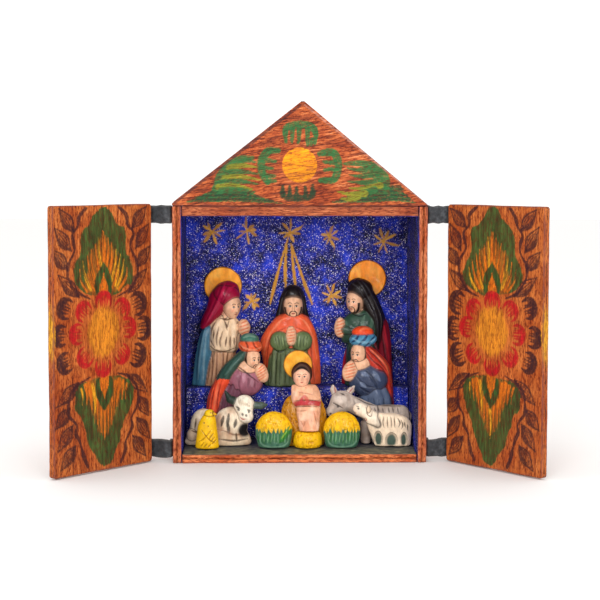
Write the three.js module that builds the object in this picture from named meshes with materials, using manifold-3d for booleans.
// Folding shrine box: an open-fronted wooden case under a gable, two doors on leather straps,
// and a nativity of small hand-modelled figures on the floor and on a step at the back.
// Millimetres, +Z up. The origin is the middle of the case's underside; the open front faces -Y.
import * as THREE from 'three';
import { mergeVertices } from 'three/addons/utils/BufferGeometryUtils.js';
import Module from 'manifold-3d';

const wasm = await Module();
wasm.setup();

// ---------------------------------------------------------------- driving dimensions
const CASE = { width: 107, height: 108.2, depth: 53 };
const SIDE = 3.9;
const TOP = 4.3;
const FLOOR = 3.9;
const BACK = 3;
const GAP = 0.3;
const GABLE = { apexZ: 152.2, apexX: 1, thick: 9, leftEnd: 1.3, rightEnd: 0.6 };
const STEP = { front: 37, top: 26.7 };
const DOOR = { width: 53.2, height: 108.6, thick: 3.5, lift: 0.5, corner: 1.2 };
const HINGE = { out: 3.5, back: 3.4, leftOpen: 133, rightOpen: 128.5 };
const STRAP = { wide: 7.4, thick: 1.1, onWall: 8.5, onDoor: 8, over: 1.4, slack: 0.5, low: 1.9, high: 100.9 };

const FRONT = -CASE.depth / 2;
const INNER = CASE.width / 2 - SIDE;
const BALL_SIDES = 10;
const BALL_RINGS = 6;
const LOFT_SIDES = 14;
const HALO_SIDES = 18;
const LIMB_SIDES = 7;
const ROUGH = { wood: 0.6, paint: 0.5, leather: 0.8, varnish: 0.45 };

const COLOUR = {
  wood: 0xa9643c, leather: 0x34373a, blue: 0x1c2fa8, cream: 0xe6d2b4, red: 0xd9532c,
  green: 0x2f5a41, slate: 0x4a5a72, plum: 0x8a5068, skin: 0xe9b795, straw: 0xf0b818,
  grey: 0xa79d9c, bale: 0xd8b21c,
};

const shrine = new THREE.Group();

// ---------------------------------------------------------------- solids
function solid(geometry) {
  const g = geometry.clone();
  g.deleteAttribute('normal');
  g.deleteAttribute('uv');
  const merged = mergeVertices(g, 1e-4);
  return new wasm.Manifold(new wasm.Mesh({
    numProp: 3,
    vertProperties: new Float32Array(merged.attributes.position.array),
    triVerts: new Uint32Array(merged.index.array),
  }));
}

function geometryOf(manifold) {
  const mesh = manifold.getMesh();
  const g = new THREE.BufferGeometry();
  g.setAttribute('position', new THREE.BufferAttribute(new Float32Array(mesh.vertProperties), 3));
  g.setIndex(new THREE.BufferAttribute(new Uint32Array(mesh.triVerts), 1));
  return g;
}

const join = (...parts) => parts.reduce((all, one) => all.add(one));

function piece(name, shape, color, roughness, parent = shrine) {
  const geometry = shape.isBufferGeometry ? shape : geometryOf(shape);
  const mesh = new THREE.Mesh(geometry, new THREE.MeshStandardMaterial({ color, roughness, metalness: 0 }));
  mesh.name = name;
  parent.add(mesh);
  return mesh;
}

// A board that fills the box between two corners.
function board([x0, y0, z0], [x1, y1, z1]) {
  const g = new THREE.BoxGeometry(x1 - x0, y1 - y0, z1 - z0);
  return g.translate((x0 + x1) / 2, (y0 + y1) / 2, (z0 + z1) / 2);
}

// An outline drawn in X and Z, cut from a board that reaches from y to y + thick.
function cutOut(shape, y, thick, curveSegments = 3) {
  const g = new THREE.ExtrudeGeometry(shape, { depth: thick, bevelEnabled: false, curveSegments });
  return g.rotateX(Math.PI / 2).translate(0, y + thick, 0);
}

// An ellipsoid, turned about Y by tilt degrees.
function ball([x, y, z], [rx, ry, rz], tilt = 0) {
  const g = new THREE.SphereGeometry(1, BALL_SIDES, BALL_RINGS).rotateX(Math.PI / 2).scale(rx, ry, rz);
  return solid(g.rotateY(THREE.MathUtils.degToRad(tilt)).translate(x, y, z));
}

// A limb between two points, with a half width at each end; flat is its depth over its width.
function limb(a, ra, b, rb, flat = 1) {
  const from = new THREE.Vector3(...a);
  const along = new THREE.Vector3(...b).sub(from);
  const length = along.length();
  const g = new THREE.CylinderGeometry(rb, ra, length, LIMB_SIDES);
  g.translate(0, length / 2, 0).scale(1, 1, flat);
  const turn = new THREE.Quaternion().setFromUnitVectors(new THREE.Vector3(0, 1, 0), along.normalize());
  return solid(g.applyQuaternion(turn).translate(...a));
}

// A body built up from level ovals [z, x, y, half width, half depth]. Every second upright edge
// can stand in by a share of the oval, which gives the folds of modelled drapery.
function loft(ovals, fold = 0) {
  const points = [];
  const faces = [];
  ovals.forEach(([z, x, y, halfWidth, halfDepth]) => {
    for (let i = 0; i < LOFT_SIDES; i++) {
      const a = (2 * Math.PI * i) / LOFT_SIDES;
      const swell = 1 - fold * (i % 2);
      points.push(x + halfWidth * swell * Math.cos(a), y + halfDepth * swell * Math.sin(a), z);
    }
  });
  const last = ovals.length - 1;
  for (let r = 0; r < last; r++) {
    for (let i = 0; i < LOFT_SIDES; i++) {
      const j = (i + 1) % LOFT_SIDES;
      const here = r * LOFT_SIDES;
      const above = here + LOFT_SIDES;
      faces.push(here + i, here + j, above + j, here + i, above + j, above + i);
    }
  }
  for (let i = 1; i < LOFT_SIDES - 1; i++) {
    faces.push(0, i + 1, i);
    faces.push(last * LOFT_SIDES, last * LOFT_SIDES + i, last * LOFT_SIDES + i + 1);
  }
  const g = new THREE.BufferGeometry();
  g.setAttribute('position', new THREE.Float32BufferAttribute(points, 3));
  g.setIndex(faces);
  return solid(g);
}

// A flat disc facing front, such as a halo.
function disc([x, y, z], radius, thick) {
  return solid(new THREE.CylinderGeometry(radius, radius, thick, HALO_SIDES).translate(x, y, z));
}

// Puts a figure on the floor or the step, with its own middle at x and at depth behind the front.
function stand(name, shape, color, x, depth, z) {
  piece(name, shape.translate([x, FRONT + depth, z + GAP]), color, ROUGH.varnish);
}

// ---------------------------------------------------------------- case
const half = CASE.width / 2;
const backFace = FRONT + CASE.depth - BACK - GAP;
piece('case_left_wall', board([-half, FRONT, 0], [-INNER, backFace, CASE.height]), COLOUR.wood, ROUGH.wood);
piece('case_right_wall', board([INNER, FRONT, 0], [half, backFace, CASE.height]), COLOUR.wood, ROUGH.wood);
piece('case_floor', board([-INNER + GAP, FRONT, 0], [INNER - GAP, backFace, FLOOR]), COLOUR.wood, ROUGH.wood);
piece('case_top', board([-INNER + GAP, FRONT, CASE.height - TOP],
  [INNER - GAP, backFace, CASE.height]), COLOUR.wood, ROUGH.wood);
piece('case_back', board([-half, backFace + GAP, 0], [half, -FRONT, CASE.height]), COLOUR.blue, ROUGH.paint);
piece('rear_step', board([-INNER + GAP, FRONT + STEP.front, FLOOR + GAP],
  [INNER - GAP, backFace - GAP, STEP.top]), COLOUR.blue, ROUGH.paint);

const gableFoot = CASE.height + GAP;
const gableShape = new THREE.Shape();
gableShape.moveTo(-half, gableFoot);
gableShape.lineTo(half, gableFoot);
gableShape.lineTo(half, gableFoot + GABLE.rightEnd);
gableShape.lineTo(GABLE.apexX, GABLE.apexZ);
gableShape.lineTo(-half, gableFoot + GABLE.leftEnd);
piece('gable', cutOut(gableShape, FRONT, GABLE.thick), COLOUR.wood, ROUGH.wood);

// ---------------------------------------------------------------- doors and their leather straps
// A door is drawn shut, then swung about an axis that stands outside the wall's front edge.
function roundedPanel(x0, z0, x1, z1, r) {
  const s = new THREE.Shape();
  s.moveTo(x0 + r, z0);
  s.lineTo(x1 - r, z0);
  s.quadraticCurveTo(x1, z0, x1, z0 + r);
  s.lineTo(x1, z1 - r);
  s.quadraticCurveTo(x1, z1, x1 - r, z1);
  s.lineTo(x0 + r, z1);
  s.quadraticCurveTo(x0, z1, x0, z1 - r);
  s.lineTo(x0, z0 + r);
  s.quadraticCurveTo(x0, z0, x0 + r, z0);
  return s;
}

// A strip of leather on edge: a plan curve given its thickness and pulled up by its width.
function ribbon(plan, z, steps = 9) {
  const points = plan.map(([x, y]) => new THREE.Vector3(x, y, 0));
  const curve = new THREE.CatmullRomCurve3(points, false, 'centripetal');
  const side = (sign) => Array.from({ length: steps + 1 }, (_, i) => {
    const p = curve.getPoint(i / steps);
    const t = curve.getTangent(i / steps);
    return new THREE.Vector2(p.x - sign * t.y * STRAP.thick / 2, p.y + sign * t.x * STRAP.thick / 2);
  });
  const outline = new THREE.Shape([...side(1), ...side(-1).reverse()]);
  const g = new THREE.ExtrudeGeometry(outline, { depth: STRAP.wide, bevelEnabled: false });
  return g.translate(0, 0, z);
}

function hang(name, side, openDegrees) {
  const open = THREE.MathUtils.degToRad(openDegrees) * side;
  const axis = new THREE.Vector2(side * (half + HINGE.out), FRONT + HINGE.back);
  const edge = side * half;
  const free = side * (half - DOOR.width);
  const hinge = new THREE.Group();
  hinge.position.set(axis.x, axis.y, 0);
  hinge.rotation.z = open;
  const [x0, x1] = [Math.min(edge, free), Math.max(edge, free)];
  const panel = roundedPanel(x0, DOOR.lift, x1, DOOR.lift + DOOR.height, DOOR.corner);
  const shut = cutOut(panel, FRONT - GAP - DOOR.thick, DOOR.thick).translate(-axis.x, -axis.y, 0);
  shrine.add(hinge);
  piece(name, shut, COLOUR.wood, ROUGH.wood, hinge);

  const off = GAP + STRAP.thick / 2;
  const swung = (inFromEdge, y) => {
    const p = new THREE.Vector2(edge - side * inFromEdge, y).rotateAround(axis, open);
    return [p.x, p.y];
  };
  const outside = FRONT - GAP - DOOR.thick - off;
  const plan = [
    [edge + side * off, FRONT + STRAP.onWall], [edge + side * off, FRONT + STRAP.onWall / 2],
    [axis.x - side, axis.y + STRAP.slack], swung(-STRAP.over, outside - STRAP.slack),
    swung(STRAP.over, outside), swung(STRAP.onDoor, outside),
  ];
  const heights = { top: STRAP.high, bottom: STRAP.low };
  for (const [where, z] of Object.entries(heights)) {
    piece(`${name.replace('door', 'strap')}_${where}`, ribbon(plan, z), COLOUR.leather, ROUGH.leather);
  }
}
hang('left_door', -1, HINGE.leftOpen);
hang('right_door', 1, HINGE.rightOpen);

// ---------------------------------------------------------------- figures on the step
const FOLD = 0.08;
const HALO = { radius: 8.5, thick: 1.4, y: 4.6 };

// Woman with a long veil, turned to the right, her hands raised before her.
function standingWoman() {
  const skirt = loft([[0, 0.2, 0, 8.2, 5.2], [8, 0.8, 0, 7.2, 4.8], [15.5, 1.4, 0, 6.2, 4.2]], FOLD);
  const bodice = loft([[14.6, 1.4, 0, 6.4, 4.4], [18, 1.3, -0.4, 7.4, 5], [24, 1.4, -0.2, 7, 4.8],
    [29, 2, 0, 5.4, 4], [32, 4.2, 0, 2.6, 3]], FOLD);
  const cloak = loft([[0, -7.2, 1, 5, 4.2], [12, -6.4, 1, 4.2, 4.2], [22, -5.4, 1, 3, 4],
    [27, -4.6, 1, 1.6, 3]]);
  const veil = loft([[25.5, -7, 1, 1.4, 3], [31, -3.2, 0.8, 3.8, 4.4], [36, 0, 0.8, 4.8, 5],
    [41, 2.8, 0.6, 6.4, 5.2], [45, 4, 0.6, 4.6, 4.2], [47, 4.4, 0.6, 1.6, 1.8]]);
  const neck = limb([3, 0, 27], 3, [4.6, -0.4, 33], 2.6);
  const head = ball([6.2, -1.2, 35.9], [3.9, 4.4, 5.7]);
  const hands = ball([11.2, -2.4, 26.4], [3, 2.4, 3.6]);
  const arm = limb([4, -3.4, 22], 2.6, [10.6, -3, 25.6], 2, 0.9);
  const halo = disc([2.1, HALO.y, 44.4], HALO.radius, HALO.thick);
  return join(skirt, bodice, cloak, veil, neck, head, hands, arm, halo);
}
stand('standing_woman', standingWoman(), COLOUR.cream, -35, 43.4, STEP.top);

// Bearded man in a short cape and long tunic, facing front, hands together.
function standingMan() {
  const skirt = loft([[0, -1.2, -1.6, 10.4, 4.4], [9, -0.8, -1.6, 9.4, 4.2],
    [17, -0.4, -1.4, 8.2, 3.8]], FOLD);
  const cape = loft([[0.4, 0.8, 1.4, 13, 4.2], [10, 0.6, 1.4, 12.8, 4.2], [19, -0.6, 1, 13, 4.4],
    [25, 0, 0.2, 11, 4.8], [30, 0.7, 0, 7.8, 4.4], [32.5, 0.9, 0, 4.4, 3.6]]);
  const leftSleeve = ball([-4.6, -3.4, 20], [4.8, 2.6, 4.4]);
  const rightSleeve = ball([5, -3.4, 20], [4.8, 2.6, 4.4]);
  const hands = ball([0.2, -5, 22.8], [2.3, 1.4, 4.4]);
  const hair = loft([[29.4, 0.6, 1.4, 8.2, 3.4], [35, 0.8, 1.4, 6.6, 3.8], [40, 1, 1.2, 5.6, 4],
    [43.5, 1.2, 0.8, 3.8, 3.2], [45, 1.2, 0.6, 1.4, 1.4]]);
  const head = ball([1.1, -1.6, 36.6], [4.4, 4, 6.3]);
  return join(skirt, cape, leftSleeve, rightSleeve, hands, hair, head);
}
stand('standing_man', standingMan(), COLOUR.red, -3, 43.4, STEP.top);

// Hooded man, turned to the left, with a long dark cloak.
function standingHoodedMan() {
  const skirt = loft([[0, -0.6, -1.2, 9.4, 4.6], [10, -1.6, -1.2, 7.8, 4.2], [20, -3, -1, 6.6, 4.2]], FOLD);
  const chest = loft([[19, -4, -0.4, 6.8, 4.6], [24, -3.6, -0.4, 9.2, 4.8], [29, -2.6, -0.2, 9, 4.6],
    [32.6, -2, 0, 5.6, 3.8], [34, -3, 0, 3, 3]], FOLD);
  const cloak = loft([[0.4, 0.6, 1.4, 12, 4], [12, 0.4, 1.4, 11, 4.2], [20, 1.4, 1.4, 9.4, 4.2],
    [28, 3.2, 1.2, 6.2, 4], [33, 2.6, 1, 3, 3]]);
  const hood = loft([[16, 4.6, 1, 1.6, 3.4], [24, 4.2, 0.8, 3, 4.6], [30, 3.6, 0.6, 4.4, 5],
    [36, 1, 0.6, 5.2, 5], [42, -2.6, 0.4, 5.8, 5], [46, -3.8, 0.4, 4.6, 4.2], [48.3, -4, 0.4, 1.4, 1.6]]);
  const head = ball([-5.6, -1.4, 38.2], [4.1, 4.4, 6.1]);
  const hands = ball([-12.2, -2.2, 26.2], [2.6, 2.2, 4.6]);
  const arm = limb([-5, -3, 24], 2.6, [-11.6, -2.6, 26], 2.1, 0.9);
  const halo = disc([0.3, HALO.y, 47.5], HALO.radius, HALO.thick);
  return join(skirt, chest, cloak, hood, head, hands, arm, halo);
}
stand('standing_hooded_man', standingHoodedMan(), COLOUR.green, 31, 43.4, STEP.top);

// ---------------------------------------------------------------- kneeling kings
// Each kneels side-on in a long cloak, bent over joined hands, in a turban with a rounded cap.
function kneelingKingLeft() {
  const skirt = loft([[0, -2.4, 0, 8.8, 4.6], [10, -2.2, 0, 7.8, 4.6], [20, 0.4, 0, 7, 4.4],
    [26, 2, 0, 5, 4]], FOLD);
  const cloak = loft([[0, -7.6, 1, 4.8, 4], [14, -7.8, 0.8, 4, 4.2], [21, -6.8, 0.6, 3.8, 4.2],
    [27, -4, 0.4, 4, 4.6], [33, -0.4, 0.4, 4.2, 4.6], [37, 3.4, 0.4, 3.6, 4.2], [40.5, 5.8, 0.4, 2.2, 3]]);
  const bodice = ball([5.4, -1, 26.6], [7.8, 4, 6.6], 12);
  const neck = ball([6.2, -1, 32], [4.6, 3.4, 4]);
  const head = ball([8.6, -1.2, 36.6], [3.8, 3.8, 5.2]);
  const hands = ball([12.4, -2.6, 30.2], [3.1, 2.2, 4.6], -20);
  const turban = ball([7.3, 0, 42.4], [5.5, 4.6, 3.3], 8);
  const cap = ball([7.3, 0.2, 44.8], [4.3, 3.6, 2.7]);
  return join(skirt, cloak, bodice, neck, head, hands, turban, cap);
}
stand('kneeling_king_left', kneelingKingLeft(), COLOUR.plum, -28.5, 31.6, FLOOR);

function kneelingKingRight() {
  const skirt = loft([[0, 1.2, 0, 9, 4.6], [10, 2, 0, 7.8, 4.6], [20, 1.6, 0, 7, 4.4],
    [26, 0, 0, 5, 4]], FOLD);
  const cloak = loft([[0, 4.8, 1, 6.8, 4], [17, 5, 0.8, 6, 4.2], [27, 4.2, 0.6, 5.7, 4.4],
    [34, 2, 0.4, 5.8, 4.4], [40, -2, 0.4, 4, 4], [42.4, -3.6, 0.4, 2, 3]]);
  const bodice = ball([-1.6, -1, 27], [8.6, 4, 7], -10);
  const neck = ball([-4.6, -1, 34.4], [4.6, 3.4, 4]);
  const head = ball([-5.7, -1.2, 39], [3.8, 3.8, 5.3]);
  const hands = ball([-9.5, -2.6, 31.1], [3.3, 2.2, 4.7], 20);
  const turban = ball([-3.8, 0, 45.4], [6.2, 4.6, 3.6], -4);
  const cap = ball([-2.9, 0.2, 48.2], [4.8, 3.8, 2.7]);
  return join(skirt, cloak, bodice, neck, head, hands, turban, cap);
}
stand('kneeling_king_right', kneelingKingRight(), COLOUR.slate, 32, 31.6, FLOOR);

// ---------------------------------------------------------------- crib and swaddled child
// The child leans back in the crib: every level oval of its body stands further back than the last.
const CHILD = { x: 3.1, depth: 13.6, foot: 7.4, lean: 0.26 };
const lean = (z) => CHILD.lean * z;

function childBody(extra) {
  const rings = [[0, 1.2, 4.1, 2.2], [7, 1, 5, 2.7], [10, 0.8, 5.4, 2.8], [13.4, 0, 6.4, 2.9],
    [16.6, -0.3, 6, 2.8], [20.6, -1.6, 4.3, 2.6]];
  const last = rings.length - 1;
  return loft(rings.map(([z, x, halfWidth, halfDepth], i) => [
    z + (i === 0 ? -extra : 0) + (i === last ? extra : 0), x, lean(z), halfWidth + extra, halfDepth + extra,
  ]));
}

function swaddledChild() {
  const face = ball([-1.7, lean(23.4) - 0.3, 23.4], [3.7, 3.2, 4.6]);
  const hair = ball([-1.6, lean(23.4) + 0.9, 24], [4.7, 2.6, 5.1]);
  const halo = disc([-3.4, lean(23.4) + 2.8, 27.8], 6.3, HALO.thick);
  return join(childBody(0), face, hair, halo);
}
stand('swaddled_child', swaddledChild(), COLOUR.skin, CHILD.x, CHILD.depth, FLOOR + CHILD.foot - GAP);

// A mound of straw behind the child and a roll of it under the feet, hollowed to take the child.
function strawCrib() {
  const mound = loft([[0, -1, 5.4, 9.2, 3.2], [8, -0.9, 5.8, 10.1, 3.2], [15, -0.9, 6.6, 9.6, 2.8],
    [20, -0.9, 7.4, 7.6, 2.2], [22.4, -0.9, 8, 4.6, 1.4]]);
  const roll = loft([[0, 0.6, 0.8, 5.4, 4.4], [2, 0.6, 0.4, 6.1, 4.4], [5, 0.6, 0.4, 5.9, 4.2],
    [7, 0.6, 0.8, 5, 3.4]]);
  return join(mound, roll).subtract(childBody(GAP).translate([0, 0, CHILD.foot - GAP]));
}
stand('straw_crib', strawCrib(), COLOUR.straw, CHILD.x, CHILD.depth, FLOOR);

// ---------------------------------------------------------------- bales and animals
const BALE_FOLD = 0.04;
const bale = loft([[0, 0, 0, 5.6, 2.6], [1.2, 0, 0, 6.8, 3.2], [6, 0, 0, 7.8, 3.6], [10, 0, 0, 7.6, 3.5],
  [13.6, 0, 0, 5.4, 2.7], [15.8, 0, 0, 1.8, 1]], BALE_FOLD);
stand('bale_left', bale, COLOUR.bale, -10.9, 13.2, FLOOR);
stand('bale_right', bale, COLOUR.bale, 18.3, 13.2, FLOOR);

function yellowBird() {
  const body = loft([[0, 0, 0, 4.3, 2.4], [1.2, 0, 0, 5, 2.8], [5, 0, 0, 4.7, 2.8], [10, -0.1, 0, 4, 2.6],
    [13, 0.4, 0, 3.2, 2.4], [15, 0.8, 0, 2.2, 1.8]]);
  const head = ball([0.9, -0.2, 15.2], [2.2, 2, 1.9]);
  const beak = limb([1.6, -1.4, 15], 1, [3.4, -2.6, 14.4], 0.4);
  return join(body, head, beak);
}
stand('yellow_bird', yellowBird(), COLOUR.straw, -39.3, 11.9, FLOOR);

// The ox lies facing front, its legs folded under it.
function ox() {
  const foldedLegs = loft([[0, -0.2, -0.2, 13.6, 3.2], [2, -0.2, -0.2, 14.4, 3.5], [5, 0, 0, 13, 3.4],
    [7, 0, 0, 11.4, 3.2]]);
  const rump = ball([-6.4, 0.2, 8.2], [6, 3.4, 7.8]);
  const haunch = ball([-10.4, -0.4, 4.6], [3.4, 2.8, 3.4]);
  const shoulders = ball([5.4, 0, 9], [7.4, 3.4, 7.8]);
  const head = ball([11.2, -2.4, 17], [4.7, 3.2, 4.9]);
  const muzzle = ball([11.6, -3.8, 12.6], [3, 2.2, 2.8]);
  const leftHorn = limb([8.4, -1.6, 19.4], 1.6, [3.8, -1.2, 23.6], 0.7);
  const rightHorn = limb([14.6, -1.6, 18.2], 1.4, [20, -1, 18.6], 0.6);
  return join(foldedLegs, rump, haunch, shoulders, head, muzzle, leftHorn, rightHorn);
}
stand('ox', ox(), COLOUR.cream, -34, 20.7, FLOOR);

// The donkey stands side-on, its neck stretched towards the crib.
function donkey() {
  const barrel = ball([6.4, 0, 12], [10.4, 2.5, 5.1]);
  const rump = ball([12, 0, 11], [4.4, 2.4, 5.8]);
  const forelegs = loft([[0, -3.2, 0, 2.1, 2.2], [10, -2.8, 0, 2.6, 2.2]]);
  const hindLegs = loft([[0, 12.6, 0, 2.3, 2.2], [8, 12.6, 0, 3, 2.2]]);
  const web = loft([[0, 4.8, 0, 5, 1.2], [9, 4.8, 0, 6, 1.2]]);
  const neck = limb([0, 0, 13], 4.2, [-12, -0.2, 18.6], 3.4, 0.6);
  const brow = ball([-13.6, -0.3, 19.8], [4.4, 2.4, 4.2]);
  const muzzle = limb([-14, -0.4, 19], 3.6, [-18.2, -0.8, 13.6], 1.7, 0.6);
  const leftEar = limb([-15.4, 0, 22.4], 1.5, [-16, 0, 26.2], 0.7, 0.7);
  const rightEar = limb([-11.4, 0, 22.2], 1.5, [-7.8, 0.2, 26], 0.8, 0.7);
  return join(barrel, rump, forelegs, hindLegs, web, neck, brow, muzzle, leftEar, rightEar);
}
stand('donkey', donkey(), COLOUR.grey, 32, 23.4, FLOOR);

function sheep() {
  const fleece = loft([[0, 2.6, 0, 7.6, 2.3], [5, 1.8, 0, 8.8, 2.6], [9.6, 1, 0, 9.6, 2.9],
    [12.6, 0.2, 0, 8.2, 2.6], [14.4, -1, 0, 5.2, 1.6]]);
  const neck = limb([-3.4, 0, 10], 3.6, [-9.6, -0.2, 15.4], 2.8, 0.8);
  const head = ball([-11, -0.3, 16.2], [3.9, 2.5, 3.3], 18);
  const ear = ball([-7.9, 0, 15.4], [1.7, 2.6, 2.2]);
  return join(fleece, neck, head, ear);
}
stand('sheep', sheep(), COLOUR.cream, 38.2, 17.1, FLOOR);

export default shrine;
